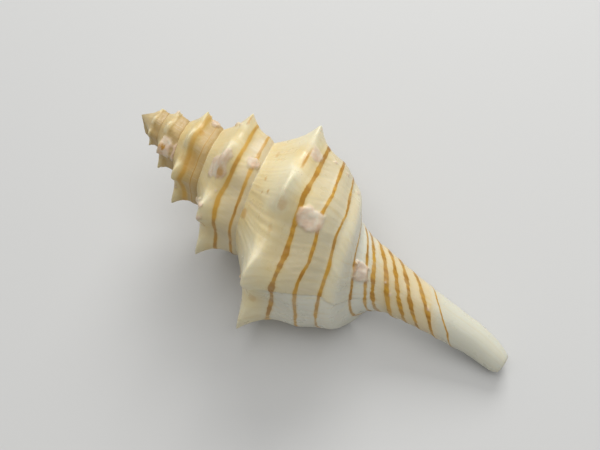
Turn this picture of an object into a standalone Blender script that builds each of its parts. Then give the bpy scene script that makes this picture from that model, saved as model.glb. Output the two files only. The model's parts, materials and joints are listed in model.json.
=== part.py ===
"""A Serratifusus lineatus sea shell, lying on its aperture side: apex towards -X, canal towards +X.

The shell is a loft between growth sections. Each section is the outline of the shell in a half plane
through the axis of coiling: the suture, the sloping shoulder, the spined keel, the wall below it, the base
and the canal. The section turns about the axis, moves along it and grows, as the animal built it.
Section coordinates: radius from the axis, and height along the axis above the canal's tip.
"""

import math

import bmesh
import bpy
import numpy as np
from mathutils import Matrix, Vector

MM = 0.001

# Growth: 0 turns is the last spine, and earlier whorls have negative turns
STEPS_PER_TURN = 49
LIP_TURN = 4 / STEPS_PER_TURN
WHORLS = 5
RISE = 17.8 * MM
RISE_RATE = 0.435
GROWTH_RATE = 0.341
GROWTH_BEND = 0.025

# The back of the last whorl is a little flatter than its growth gives
FLATTENING = 0.045
FLAT_TURN = -0.43
FLAT_REACH = 0.25

# Spines on the keel and the swelling under each of them, with how far down the wall each reaches
SPINES_PER_TURN = 7
SPINE_LENGTH = 1.35 * MM
SPINE_HALF_WIDTH = 0.34
SPINE_TAPER = 1.3
SPINE_SIZES = [1.1, 1.05, 0.9, 0.55, 1.0, 1.51, 1.15]
SPINE_ROWS = [0, 0.5, 1, 2]
SPINE_SHARES = [1, 0.5, 0.3, 0]
SPINE_RAMP_START = 0.55
SPINE_RAMP_SHARE = 0.8
SWELLING = 0.8 * MM
SWELLING_ROWS = [0, 1, 2, 3, 4]
SWELLING_SHARES = [1, 0.9, 0.5, 0.2, 0]

# The section at 0 turns, from the keel down to the canal's tip
KEEL = 0
CANAL_START = 8
CANAL_TIP = 13
RADII = np.array([8.15, 7.1, 7.0, 6.3, 5.7, 3.7, 2.8, 2.42, 2.14, 1.92, 1.74, 1.58, 1.5, 1.0]) * MM
HEIGHTS = np.array([19.15, 17.3, 15.4, 13.75, 12.5, 11.8, 10.95, 10.25, 9.3, 8.3, 7.1, 5.6, 4.7, 0.0]) * MM
RADIUS_GROWS = np.array([1, 0.94, 0.91, 0.91, 1, 0.8, 0.5, 0.3, 0.1, 0, 0, 0, 0, 0])
HEIGHT_GROWS = np.array([1, 1, 0.85, 1, 1, 0.7, 0.4, 0.2, 0.1, 0, 0, 0, 0, 0])
SUTURE = 2.35
SHOULDER_SAG = 0.1 * MM
APEX_DOME = 0.95 * MM
TIP_DOME = 0.15 * MM

# Rows of points along a section: -1 is the suture, 0 the keel, 13 the canal's tip
SPIRE_ROWS = [-0.7, -0.4, -0.15, 0, 0.5, 1, 1.6, SUTURE]
LOWER_ROWS = [2.7, 3.2, 3.6, 4, 4.3, 4.65, 5, 6, 7, 8, 9, 10, 11, 12, 12.6, 13]

# Lip, canal and columella
LIP_TURNED_IN = 0.09
TURNED_IN_FADE_ROWS = 3
CANAL_LAP = 0.12 * MM
BEND_START = 3.1 * MM
TIP_BEND = 0.45 * MM
HOLLOW_DEPTH = 0.36
HOLLOW_START = 0.6
HOLLOW_FULL = 0.95
HOLLOW_ROW = 3.3
HOLLOW_FADE_ROWS = 4

# Aperture
WALL = 0.42 * MM
WALL_LEAST_SHARE = 0.75
WALL_ROUNDING = 0.8
WALL_CLEARANCE = 0.1 * MM
CAVITY_TURNS = 2.4
CAVITY_LEVELS = 11
CAVITY_STRIDE = 2
CAVITY_FLOOR_ROW = 6.6
CAVITY_GAP = 0.25 * MM
CAVITY_PROBES = 80
CAVITY_END_SIZE = 0.25
CAVITY_TAPER = 5
NEAR_WINDOW = 0.5 * MM
GUTTER_DIRECTION = math.radians(209)
GUTTER_TOP = 11.6 * MM
GUTTER_END = -0.6 * MM
GUTTER_RADIUS = 0.52 * MM
GUTTER_WIDENS = 0.42 * MM
GUTTER_DEPTH = 0.08 * MM
GUTTER_DEEPENS = 0.75 * MM
GUTTER_RINGS = 15
GUTTER_SIDES = 8
SLIT_WIDTH = 0.72 * MM
SLIT_WIDENS = 0.45
SLIT_REACH = 5 * MM
SLIT_SLOPE = 4

# Crusts grown on the shell: turn, row, half length along the growth, half width and height, in mm
CRUSTS = [
    (-0.267, 1.6, 0.55, 1.0, 0.28),
    (-0.221, 5.2, 0.62, 0.6, 0.42),
    (-1.27, 0.05, 0.85, 0.5, 0.22),
    (-1.31, 1.69, 0.4, 0.42, 0.3),
    (-1.135, 0.2, 0.3, 0.35, 0.24),
    (-2.42, 1.38, 0.32, 0.32, 0.26),
    (-3.163, 0.75, 0.42, 0.4, 0.16),
]

# How it lies: on the lip, a spine on the aperture side and the canal's end, each worn flat
ROLL = math.radians(18.24)
DIP = math.radians(14.36)
WORN_DEPTH = 0.08 * MM
GROUND_SIZE = 80 * MM


def growth(turn):
    """Size of the section against its size at 0 turns."""
    return math.exp(GROWTH_RATE * turn + math.copysign(GROWTH_BEND, turn) * turn * turn)


def rise(turn):
    """How much higher the section sits than at 0 turns."""
    return RISE * (1 - math.exp(RISE_RATE * turn))


def flattening(turn):
    """Share by which the whorl is narrower here than its growth gives."""
    off = min(abs(turn - FLAT_TURN) / FLAT_REACH, 1)
    return FLATTENING * (0.5 + 0.5 * math.cos(math.pi * off))


def knots(turn):
    size = growth(turn)
    radii = RADII * size**RADIUS_GROWS * (1 - flattening(turn) * RADIUS_GROWS)
    heights = HEIGHTS[KEEL] + rise(turn) + (HEIGHTS - HEIGHTS[KEEL]) * size**HEIGHT_GROWS
    heights[CANAL_TIP] = HEIGHTS[CANAL_TIP]
    return radii, heights


def slope(before, after):
    """Slope at a knot from the steps before and after it, held back so that the curve never turns round."""
    mean = (before + after) / 2
    most = 3 * min(abs(before), abs(after)) if before * after > 0 else abs(mean)
    return min(max(mean, -most), most)


def blend(values, row):
    """Smooth curve through the knots, straight at its two ends."""
    first = min(int(row), CANAL_TIP - 1)
    part = row - first
    before = values[max(first - 1, 0)]
    low, high = values[first], values[first + 1]
    after = values[min(first + 2, CANAL_TIP)]
    start = slope(low - before, high - low)
    end = slope(high - low, after - high)
    bow = part * part * (part - 1) * end + part * (part - 1) ** 2 * start
    return low + (high - low) * part * part * (3 - 2 * part) + bow


def spine_shape(turn):
    """(sharp spine, broad swelling) at this point of the keel, as shares of their full size."""
    phase = turn * SPINES_PER_TURN
    off = abs(phase - round(phase))
    size = SPINE_SIZES[-round(phase) % SPINES_PER_TURN]
    spine = size * max(0.0, 1 - off / SPINE_HALF_WIDTH) ** SPINE_TAPER
    return spine, 0.5 + 0.5 * math.cos(2 * math.pi * off)


def turned_in(turn, row):
    """Factor on the radius just before the lip, where the wall leans in towards the axis."""
    near_lip = max(0, turn / LIP_TURN)
    above_canal = min(max((CANAL_START - row) / TURNED_IN_FADE_ROWS, 0), 1)
    return 1 - LIP_TURNED_IN * near_lip**2 * (0.6 + 0.4 * min(max(row, 0), 1)) * above_canal


def hollow(turn, row):
    """Share of the radius taken off the columella where the aperture faces it."""
    back = LIP_TURN - turn
    reach = min(max((back - HOLLOW_START) / (HOLLOW_FULL - HOLLOW_START), 0), 1)
    starts = min(max(row - HOLLOW_ROW, 0), 1)
    fades = min(max((CANAL_TIP - row) / HOLLOW_FADE_ROWS, 0), 1)
    return HOLLOW_DEPTH * reach * starts * fades


def section_point(turn, row, spined=True):
    """(radius, height) of one row of the section at this turn."""
    radii, heights = knots(turn)
    size = growth(turn)
    spine, swelling = spine_shape(turn) if spined else (0, 0)
    if row < KEEL:
        along = row + 1
        suture_radius, suture_height = section_point(turn - 1, SUTURE)
        radius = suture_radius + (radii[KEEL] * turned_in(turn, row) - suture_radius) * along
        height = suture_height + (heights[KEEL] - suture_height) * along
        sag = SHOULDER_SAG * size * math.sin(math.pi * along)
        up_ramp = max(0, (along - SPINE_RAMP_START) / (1 - SPINE_RAMP_START))
        spine_share = SPINE_RAMP_SHARE * up_ramp**2
        radius += size * (SPINE_LENGTH * spine * spine_share + SWELLING * swelling * along * along)
        return radius - sag * 0.5, height - sag * 0.5
    spine_share = np.interp(row, SPINE_ROWS, SPINE_SHARES)
    swelling_share = np.interp(row, SWELLING_ROWS, SWELLING_SHARES)
    radius = blend(radii, row) * (1 - hollow(turn, row))
    radius += size * (SPINE_LENGTH * spine * spine_share + SWELLING * swelling * swelling_share)
    if row >= CANAL_START:
        radius += CANAL_LAP * max(0, 1 - (LIP_TURN - turn))
    return radius * turned_in(turn, row), blend(heights, row)


def place(radius, height, angle):
    """Point in space: the axis of coiling runs along X, and the canal's end bends a little off it."""
    low = max(0.0, (BEND_START - height) / BEND_START)
    across = radius * math.cos(angle) - TIP_BEND * low**1.5
    return Vector((-height, across, radius * math.sin(angle)))


def angle_at(turn):
    return math.pi + 2 * math.pi * turn


def outer_points(turn, rows):
    return [place(*section_point(turn, row), angle_at(turn)) for row in rows]


def new_object(name, mesh_maker, collection):
    mesh = bpy.data.meshes.new(name)
    shape = bmesh.new()
    mesh_maker(shape)
    bmesh.ops.recalc_face_normals(shape, faces=shape.faces)
    shape.to_mesh(mesh)
    shape.free()
    made = bpy.data.objects.new(name, mesh)
    collection.objects.link(made)
    return made


def strip(shape, left, right):
    """Faces between two neighbouring rows of vertices of equal length, leaving out those that close up."""
    for a, b, c, d in zip(left, right, right[1:], left[1:]):
        corners = list(dict.fromkeys((a, b, c, d)))
        if len(corners) > 2:
            shape.faces.new(corners)


def build_body(shape):
    """The filled shell: whorls wound from the lip back to the apex, each starting on the one before it."""
    count = WHORLS * STEPS_PER_TURN
    columns = []
    for index in range(count + 1):
        turn = LIP_TURN - index / STEPS_PER_TURN
        rows = SPIRE_ROWS + (LOWER_ROWS if index <= STEPS_PER_TURN else [])
        columns.append([shape.verts.new(point) for point in outer_points(turn, rows)])
    first_turn = LIP_TURN - WHORLS
    apex_height = section_point(first_turn, KEEL)[1] + APEX_DOME
    apex = shape.verts.new(place(0, apex_height, 0))
    suture = len(SPIRE_ROWS) - 1
    for index, column in enumerate(columns):
        earlier = index + STEPS_PER_TURN
        column.insert(0, columns[earlier][suture] if earlier <= count else apex)
    full = len(SPIRE_ROWS) + len(LOWER_ROWS) + 1
    for index in range(count):
        used = full if index < STEPS_PER_TURN else len(SPIRE_ROWS) + 1
        strip(shape, columns[index][:used], columns[index + 1][:used])
    tip = shape.verts.new(place(0, -TIP_DOME, 0))
    for index in range(STEPS_PER_TURN):
        shape.faces.new((tip, columns[index][-1], columns[index + 1][-1]))
    behind_lip = columns[STEPS_PER_TURN][len(SPIRE_ROWS) + 1:]
    shape.faces.new(columns[0] + [tip] + behind_lip[::-1])
    shape.faces.new(columns[count][:len(SPIRE_ROWS) + 1])


def outline(turn, spined):
    """The section as radius against falling height, dense enough to read between."""
    rows = np.concatenate([np.linspace(-1, 0, 9), np.linspace(0.2, CANAL_TIP, 65)])
    points = np.array([section_point(turn, row, spined) for row in rows])
    return points[:, 0], points[:, 1]


def radius_at(curve, height):
    radii, heights = curve
    return float(np.interp(-height, -heights, radii))


def cavity_section(turn):
    """Loop of (radius, height) round the hollow at this turn, between the wall and the whorl inside it."""
    size = growth(turn)
    wall = WALL * (WALL_LEAST_SHARE + (1 - WALL_LEAST_SHARE) * size)
    shifts = (-WALL_ROUNDING * wall, 0, WALL_ROUNDING * wall)
    outer = outline(turn, False)
    inners = [outline(turn - 1 + step / STEPS_PER_TURN, True) for step in (-1, 0, 1)]

    def far(height):
        return min(radius_at(outer, height + shift) for shift in shifts) - wall

    def near(height):
        window = (-NEAR_WINDOW, 0, NEAR_WINDOW)
        reach = [radius_at(inner, height + shift) for inner in inners for shift in window]
        return max(reach) + WALL_CLEARANCE

    suture_height = section_point(turn - 1, SUTURE)[1]
    low = blend(knots(turn)[1], CAVITY_FLOOR_ROW)
    probes = np.linspace(suture_height, low, CAVITY_PROBES)
    wide = [level for level in probes if far(level) - near(level) > CAVITY_GAP * size]
    levels = np.linspace(wide[0], wide[-1], CAVITY_LEVELS)
    outside = [(far(height), height) for height in levels]
    inside = [(near(height), height) for height in levels]
    return outside + inside[::-1]


def shrunk(loop, factor):
    middle = np.mean(loop, axis=0)
    return [tuple(middle + (np.array(point) - middle) * factor) for point in loop]


def build_cavity(shape):
    """The aperture's hollow, from just past the lip back inside the last whorl, where it closes."""
    steps = int(CAVITY_TURNS * STEPS_PER_TURN)
    rings = []
    for index in range(-CAVITY_STRIDE, steps + 1, CAVITY_STRIDE):
        turn = LIP_TURN - index / STEPS_PER_TURN
        loop = cavity_section(turn)
        remain = (steps - index) / steps
        loop = shrunk(loop, min(1.0, CAVITY_END_SIZE + CAVITY_TAPER * remain))
        rings.append([shape.verts.new(place(radius, height, angle_at(turn))) for radius, height in loop])
    for left, right in zip(rings, rings[1:]):
        strip(shape, left + left[:1], right + right[:1])
    shape.faces.new(rings[0])
    shape.faces.new(rings[-1][::-1])


def gutter_ring(height):
    """Cross-section of the canal's gutter: a round floor, with its slit open to the aperture side."""
    share = max(0.0, height) / GUTTER_TOP
    radius = GUTTER_RADIUS + GUTTER_WIDENS * share
    depth = GUTTER_DEPTH + GUTTER_DEEPENS * share**2
    half_slit = SLIT_WIDTH / 2 * (1 + SLIT_WIDENS * share)
    reach = min(SLIT_REACH, depth + radius + SLIT_SLOPE * (GUTTER_TOP - height))
    start = math.asin(half_slit / radius)
    ring = []
    for step in range(GUTTER_SIDES + 1):
        angle = start + (2 * math.pi - 2 * start) * step / GUTTER_SIDES
        ring.append((depth + radius * math.cos(angle), radius * math.sin(angle)))
    ring += [(reach, -half_slit), (reach, half_slit)]
    centre = place(0, height, 0)
    out = Vector((0, math.cos(GUTTER_DIRECTION), math.sin(GUTTER_DIRECTION)))
    side = Vector((0, -out.z, out.y))
    return [centre + out * along + side * across for along, across in ring]


def build_gutter(shape):
    """The open siphonal canal, from inside the aperture out past the canal's tip."""
    rings = []
    for height in np.linspace(GUTTER_TOP, GUTTER_END, GUTTER_RINGS):
        rings.append([shape.verts.new(point) for point in gutter_ring(height)])
    for left, right in zip(rings, rings[1:]):
        strip(shape, left + left[:1], right + right[:1])
    shape.faces.new(rings[0])
    shape.faces.new(rings[-1][::-1])


def surface_frame(turn, row):
    """Matrix whose Z axis leaves the surface at this place, with X along the growth."""
    step = 0.01
    here = place(*section_point(turn, row), angle_at(turn))
    ahead = place(*section_point(turn + step, row), angle_at(turn + step)) - here
    down = place(*section_point(turn, row + step), angle_at(turn)) - here
    out = down.cross(ahead).normalized()
    along = ahead.normalized()
    across = out.cross(along)
    frame = Matrix((along, across, out)).transposed().to_4x4()
    frame.translation = here
    return frame


def build_crusts(shape):
    """Low rounded lumps, half sunk in the surface."""
    for turn, row, length, width, height in CRUSTS:
        scale = Matrix.Diagonal((length * MM, width * MM, height * MM, 1))
        place_at = surface_frame(turn, row) @ scale
        bmesh.ops.create_icosphere(shape, subdivisions=2, radius=1, matrix=place_at)


def build_ground(shape):
    """Everything below the plane that the shell rests on."""
    below = Matrix.Translation((0, 0, -GROUND_SIZE / 2))
    bmesh.ops.create_cube(shape, size=GROUND_SIZE, matrix=below)


def boolean(target, other, operation):
    modifier = target.modifiers.new(other.name, "BOOLEAN")
    modifier.operation = operation
    modifier.object = other
    modifier.solver = "EXACT"


def material(name, colour, roughness):
    made = bpy.data.materials.new(name)
    made.use_nodes = True
    shader = made.node_tree.nodes["Principled BSDF"]
    shader.inputs["Base Color"].default_value = (*colour, 1)
    shader.inputs["Roughness"].default_value = roughness
    return made


def hide_cutter(cutter):
    cutter.hide_render = True
    cutter.display_type = "WIRE"


def lying_matrix(body):
    """Rolls the shell onto its aperture side, dips its canal and sets it on the ground, centred."""
    turned = Matrix.Rotation(DIP, 4, "Y") @ Matrix.Rotation(ROLL, 4, "X")
    points = np.array([turned @ vertex.co for vertex in body.data.vertices])
    low, high = points.min(axis=0), points.max(axis=0)
    middle = (low + high) / 2
    return Matrix.Translation((-middle[0], -middle[1], -low[2] - WORN_DEPTH)) @ turned


def main():
    for old in list(bpy.data.objects):
        bpy.data.objects.remove(old, do_unlink=True)
    parts = bpy.data.collections.new("Serratifusus lineatus shell")
    cutters = bpy.data.collections.new("cutters")
    for collection in (parts, cutters):
        bpy.context.scene.collection.children.link(collection)
    shell = new_object("shell", build_body, parts)
    lying = lying_matrix(shell)
    shell.data.transform(lying)
    tools = (
        ("crusts", build_crusts, "UNION"),
        ("cavity", build_cavity, "DIFFERENCE"),
        ("gutter", build_gutter, "DIFFERENCE"),
        ("ground", build_ground, "DIFFERENCE"),
    )
    for name, maker, operation in tools:
        tool = new_object(name, maker, cutters)
        if name != "ground":
            tool.data.transform(lying)
        hide_cutter(tool)
        boolean(shell, tool, operation)
    shell.data.materials.append(material("shell", (0.78, 0.70, 0.50), 0.35))
    shell.data.shade_smooth()


main()
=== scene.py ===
"""The looks of a Serratifusus lineatus shell, made by the growth law of its solid. Metres, +Z up.

The shell lies on its aperture side with its apex towards -X. A place on it is given by its turn (0 is the
last spine, earlier whorls are negative) and its row (-1 the suture, 0 the keel, 1 and up the spiral lines
below it, 13 the canal's tip).
"""

import json
import math

import bmesh
import bpy
import numpy as np
from mathutils import Matrix, Vector

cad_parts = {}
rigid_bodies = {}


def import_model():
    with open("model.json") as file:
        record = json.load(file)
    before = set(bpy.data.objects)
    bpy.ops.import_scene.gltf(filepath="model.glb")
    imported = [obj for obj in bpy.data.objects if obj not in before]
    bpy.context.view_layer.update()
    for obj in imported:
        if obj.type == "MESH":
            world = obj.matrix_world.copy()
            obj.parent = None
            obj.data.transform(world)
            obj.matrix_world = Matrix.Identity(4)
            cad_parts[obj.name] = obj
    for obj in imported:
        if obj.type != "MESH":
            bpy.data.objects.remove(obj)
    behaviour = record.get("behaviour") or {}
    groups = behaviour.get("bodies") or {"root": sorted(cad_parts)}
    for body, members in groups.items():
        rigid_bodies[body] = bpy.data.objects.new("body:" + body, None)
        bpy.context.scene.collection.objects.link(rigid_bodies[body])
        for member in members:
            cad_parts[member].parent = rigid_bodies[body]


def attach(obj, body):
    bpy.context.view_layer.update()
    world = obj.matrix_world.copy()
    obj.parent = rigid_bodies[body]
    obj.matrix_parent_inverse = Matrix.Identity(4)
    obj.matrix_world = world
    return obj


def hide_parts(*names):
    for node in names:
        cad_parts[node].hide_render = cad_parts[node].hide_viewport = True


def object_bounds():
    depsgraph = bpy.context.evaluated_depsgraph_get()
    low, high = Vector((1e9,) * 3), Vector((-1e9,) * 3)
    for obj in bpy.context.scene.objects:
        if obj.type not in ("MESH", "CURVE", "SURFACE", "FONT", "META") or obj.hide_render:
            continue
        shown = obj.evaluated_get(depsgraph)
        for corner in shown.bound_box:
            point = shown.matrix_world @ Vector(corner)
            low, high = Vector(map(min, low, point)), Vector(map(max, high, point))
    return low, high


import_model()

CAD_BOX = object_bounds()
MM = 0.001

# Growth, as in the solid, where spines and swellings fade below the keel in straight steps
RISE = 17.8 * MM
RISE_RATE = 0.435
GROWTH_RATE = 0.341
GROWTH_BEND = 0.025
FLATTENING = 0.045
FLAT_TURN = -0.43
FLAT_REACH = 0.25
SPINES_PER_TURN = 7
SPINE_LENGTH = 1.35 * MM
SPINE_HALF_WIDTH = 0.34
SPINE_TAPER = 1.3
SPINE_SIZES = [1.1, 1.05, 0.9, 0.55, 1.0, 1.51, 1.15]
SPINE_REACH_ROWS = 2
SPINE_FALL = 2.4
SPINE_RAMP_START = 0.55
SPINE_RAMP_SHARE = 0.8
SWELLING = 0.8 * MM
SWELLING_REACH_ROWS = 4
KEEL = 0
CANAL_START = 8
CANAL_TIP = 13
RADII = np.array([8.15, 7.1, 7.0, 6.3, 5.7, 3.7, 2.8, 2.42, 2.14, 1.92, 1.74, 1.58, 1.5, 1.0]) * MM
HEIGHTS = np.array([19.15, 17.3, 15.4, 13.75, 12.5, 11.8, 10.95, 10.25, 9.3, 8.3, 7.1, 5.6, 4.7, 0.0]) * MM
RADIUS_GROWS = np.array([1, 0.94, 0.91, 0.91, 1, 0.8, 0.5, 0.3, 0.1, 0, 0, 0, 0, 0])
HEIGHT_GROWS = np.array([1, 1, 0.85, 1, 1, 0.7, 0.4, 0.2, 0.1, 0, 0, 0, 0, 0])
SUTURE = 2.35
SHOULDER_SAG = 0.1 * MM
APEX_DOME = 0.95 * MM
TIP_DOME = 0.15 * MM
LIP_TURNED_IN = 0.09
KEEL_TURNED_IN_SHARE = 0.6
TURNED_IN_FADE_ROWS = 3
CANAL_LAP = 0.12 * MM
BEND_START = 3.1 * MM
TIP_BEND = 0.45 * MM
HOLLOW_DEPTH = 0.36
HOLLOW_START = 0.6
HOLLOW_FULL = 0.95
HOLLOW_ROW = 3.3
HOLLOW_FADE_ROWS = 4

# Aperture and canal, as in the solid, whose wall isn't thinner at the lip
WALL = 0.42 * MM
WALL_LEAST_SHARE = 0.75
WALL_ROUNDING = 0.8
WALL_CLEARANCE = 0.1 * MM
LIP_WALL_SHARE = 0.45
LIP_THINS_OVER = 0.05
CAVITY_TURNS = 2.4
CAVITY_FLOOR_ROW = 6.6
CAVITY_GAP = 0.25 * MM
CAVITY_PROBES = 80
CAVITY_END_SIZE = 0.25
CAVITY_TAPER = 5
NEAR_WINDOW = 0.5 * MM
GUTTER_DIRECTION = math.radians(209)
GUTTER_TOP = 11.6 * MM
GUTTER_END = -0.6 * MM
GUTTER_RADIUS = 0.52 * MM
GUTTER_WIDENS = 0.42 * MM
GUTTER_DEPTH = 0.08 * MM
GUTTER_DEEPENS = 0.75 * MM
SLIT_WIDTH = 0.72 * MM
SLIT_WIDENS = 0.45
SLIT_REACH = 5 * MM
SLIT_SLOPE = 4

# How it lies, as in the solid
ROLL = math.radians(18.24)
DIP = math.radians(14.36)
LYING_PLACE = Vector((17.2274, 0.8463, 1.0458)) * MM

# How finely it is meshed
STEPS_PER_TURN = 392
WHORLS = 5
LIP_TURN = 32 / STEPS_PER_TURN
WHORL_STRIDES = [1, 2, 2, 4, 4]
BASE_ROW = 5
CANAL_ROW = 7
BASE_STRIDE = 2
CANAL_STRIDE = 4
RAMP_POINTS = 32
POINTS_PER_ROW = [14, 13, 12, 9, 13, 9, 6, 6, 6, 7, 8, 5, 20]
OUTLINE_RAMP_POINTS = 16
OUTLINE_POINTS = 120
SOLID_STEPS_PER_TURN = 49
CAVITY_LEVELS = 22
CAVITY_STRIDE = 4
GUTTER_RINGS = 60
GUTTER_SIDES = 16
GUTTER_TOP_ROW = 7
GUTTER_END_ROW = 12
SAME_PLACE = 1e-5 * MM
COLUMNS = WHORLS * STEPS_PER_TURN
ROWS = np.concatenate(
    [np.linspace(-1, 0, RAMP_POINTS, endpoint=False)]
    + [np.linspace(row, row + 1, count, endpoint=False) for row, count in enumerate(POINTS_PER_ROW)]
    + [np.array([CANAL_TIP])]
)
LAST_ROW = len(ROWS) - 1
# The suture row replaces the nearest row
SUTURE_INDEX = int(np.argmin(abs(ROWS - SUTURE)))
ROWS[SUTURE_INDEX] = SUTURE


def growth(turn):
    """Size of the section against its size at 0 turns."""
    return np.exp(GROWTH_RATE * turn + np.copysign(GROWTH_BEND, turn) * turn * turn)


def rise(turn):
    """How much higher the section sits than at 0 turns."""
    return RISE * (1 - np.exp(RISE_RATE * turn))


def flattening(turn):
    """Share by which the whorl is narrower here than its growth gives."""
    off = min(abs(turn - FLAT_TURN) / FLAT_REACH, 1)
    return FLATTENING * (0.5 + 0.5 * math.cos(math.pi * off))


def knots(turn):
    """(radii, heights) of the section's knots at this turn."""
    size = growth(turn)
    radii = RADII * size**RADIUS_GROWS * (1 - flattening(turn) * RADIUS_GROWS)
    heights = HEIGHTS[KEEL] + rise(turn) + (HEIGHTS - HEIGHTS[KEEL]) * size**HEIGHT_GROWS
    heights[CANAL_TIP] = HEIGHTS[CANAL_TIP]
    return radii, heights


def slope(before, after):
    """Slope at a knot from the steps before and after it, held back so that the curve never turns round."""
    mean = (before + after) / 2
    most = np.where(before * after > 0, 3 * np.minimum(abs(before), abs(after)), abs(mean))
    return np.clip(mean, -most, most)


def blend(values, rows):
    """Smooth curve through the knots, straight at its two ends."""
    first = np.clip(rows.astype(int), 0, CANAL_TIP - 1)
    part = rows - first
    before = values[np.maximum(first - 1, 0)]
    low, high = values[first], values[first + 1]
    after = values[np.minimum(first + 2, CANAL_TIP)]
    start = slope(low - before, high - low)
    end = slope(high - low, after - high)
    bow = part * part * (part - 1) * end + part * (part - 1) ** 2 * start
    return low + (high - low) * part * part * (3 - 2 * part) + bow


def spine_shape(turn):
    """(sharp spine, broad swelling) at this point of the keel, as shares of their full size."""
    phase = turn * SPINES_PER_TURN
    off = abs(phase - round(phase))
    number = -round(phase) % SPINES_PER_TURN
    near = max(0.0, 1 - (math.hypot(off, SPINE_ROUNDING) - SPINE_ROUNDING) / SPINE_HALF_WIDTH)
    spine = SPINE_SIZES[number] * near**SPINE_TAPER
    if number in BLUNT_SPINES:
        spine = SPINE_SIZES[number] * BLUNT_SHARE * near * near * (3 - 2 * near)
    return spine, 0.5 + 0.5 * math.cos(2 * math.pi * off)


def turned_in(turn, rows):
    """Factor on the radius just before the lip, where the wall leans in towards the axis."""
    near_lip = max(0, turn / LIP_TURN)
    above_canal = np.clip((CANAL_START - rows) / TURNED_IN_FADE_ROWS, 0, 1)
    share = KEEL_TURNED_IN_SHARE + (1 - KEEL_TURNED_IN_SHARE) * np.clip(rows, 0, 1)
    return 1 - LIP_TURNED_IN * near_lip**2 * share * above_canal


def hollow(turn, rows):
    """Share of the radius taken off the columella where the aperture faces it."""
    back = LIP_TURN - turn
    reach = min(max((back - HOLLOW_START) / (HOLLOW_FULL - HOLLOW_START), 0), 1)
    starts = np.clip(rows - HOLLOW_ROW, 0, 1)
    fades = np.clip((CANAL_TIP - rows) / HOLLOW_FADE_ROWS, 0, 1)
    return HOLLOW_DEPTH * reach * starts * fades


def wall_section(turn, rows, spined=True):
    """(radii, heights) of the section from the keel down."""
    radii, heights = knots(turn)
    spine, swelling = spine_shape(turn) if spined else (0, 0)
    spine_share = np.clip(1 - rows / SPINE_REACH_ROWS, 0, 1) ** SPINE_FALL
    swelling_share = 0.5 + 0.5 * np.cos(math.pi * np.clip(rows / SWELLING_REACH_ROWS, 0, 1))
    radius = blend(radii, rows) * (1 - hollow(turn, rows))
    radius += growth(turn) * (SPINE_LENGTH * spine * spine_share + SWELLING * swelling * swelling_share)
    radius += CANAL_LAP * max(0, 1 - (LIP_TURN - turn)) * (rows >= CANAL_START)
    return radius * turned_in(turn, rows), blend(heights, rows)


def ramp_section(turn, rows, spined=True):
    """(radii, heights) of the section from the suture to the keel."""
    radii, heights = knots(turn)
    size = growth(turn)
    spine, swelling = spine_shape(turn) if spined else (0, 0)
    along = rows + 1
    suture_radius, suture_height = wall_section(turn - 1, np.array([SUTURE]))
    radius = suture_radius + (radii[KEEL] * turned_in(turn, rows) - suture_radius) * along
    height = suture_height + (heights[KEEL] - suture_height) * along
    sag = SHOULDER_SAG * size * np.sin(math.pi * along)
    up_ramp = np.clip((along - SPINE_RAMP_START) / (1 - SPINE_RAMP_START), 0, 1)
    radius = radius + size * SPINE_LENGTH * spine * SPINE_RAMP_SHARE * up_ramp**2
    radius = radius + size * SWELLING * swelling * along * along
    return radius - sag * 0.5, height - sag * 0.5


def section(turn, rows, spined=True):
    """(radii, heights) of the whole section, for rows in rising order."""
    rows = np.asarray(rows, float)
    on_ramp = rows < KEEL
    ramp = ramp_section(turn, rows[on_ramp], spined)
    wall = wall_section(turn, rows[~on_ramp], spined)
    return np.concatenate([ramp[0], wall[0]]), np.concatenate([ramp[1], wall[1]])


def place(radius, height, angle):
    """Points in space: the axis of coiling runs along X, and the canal's end bends a little off it."""
    low = np.maximum(0.0, (BEND_START - height) / BEND_START)
    across = radius * np.cos(angle) - TIP_BEND * low**1.5
    return np.stack([-height, across, radius * np.sin(angle)], -1)


def angle_at(turn):
    """Angle round the axis of coiling."""
    return math.pi + 2 * math.pi * turn


# Crusts that grew on the shell: turn, row, half length along the growth, half width and height in mm
CRUSTS = [
    (-0.264, 1.52, 1.15, 1.15, 0.18),
    (-0.221, 5.25, 0.8, 1.05, 0.38),
    (-1.248, -0.28, 0.9, 0.75, 0.1),
    (-1.258, -0.06, 1.0, 0.75, 0.11),
    (-1.27, 0.15, 1.2, 0.85, 0.12),
    (-1.31, 1.69, 0.5, 0.55, 0.26),
    (-1.135, 0.2, 0.3, 0.3, 0.14),
    (-2.42, 1.38, 0.4, 0.4, 0.24),
    (-3.163, 0.75, 0.85, 0.8, 0.14),
    (-4.86, -0.2, 0.22, 0.22, 0.2),
    (-4.6, 0.2, 0.22, 0.22, 0.12),
    (-4.1, -0.2, 0.2, 0.2, 0.08),
    (-3.42, -0.1, 0.2, 0.2, 0.1),
    (-0.385, 0.6, 0.5, 0.55, 0.07),
    (-0.235, 7.87, 0.13, 0.11, 0.07),
    (-0.186, 8.37, 0.14, 0.11, 0.07),
    (-0.242, 10.99, 0.13, 0.11, 0.07),
    (-0.03, -0.55, 0.2, 0.2, 0.16),
    (-1.1, -0.75, 0.26, 0.26, 0.2),
    (-2.06, 0.05, 0.16, 0.2, 0.18),
    (-1.42, -0.4, 0.2, 0.22, 0.2),
    (-1.4, -0.2, 0.18, 0.2, 0.14),
    (-0.41, 1.5, 0.14, 0.2, 0.12),
    (-0.412, 2.3, 0.16, 0.2, 0.1),
    (-0.41, 3.4, 0.14, 0.24, 0.12),
    (-1.148, -0.3, 0.28, 0.28, 0.26),
    (-1.162, -0.05, 0.2, 0.2, 0.2),
    (-1.2, 0.45, 0.1, 0.1, 0.1),
]
CRUST_STEEPNESS = 2.2
CRUST_COVER_STEEPNESS = 3
CRUST_MEAN_KNOB = 0.8
CRUST_KNOBS = [(2.2, 0.3), (5, 0.15)]
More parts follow.
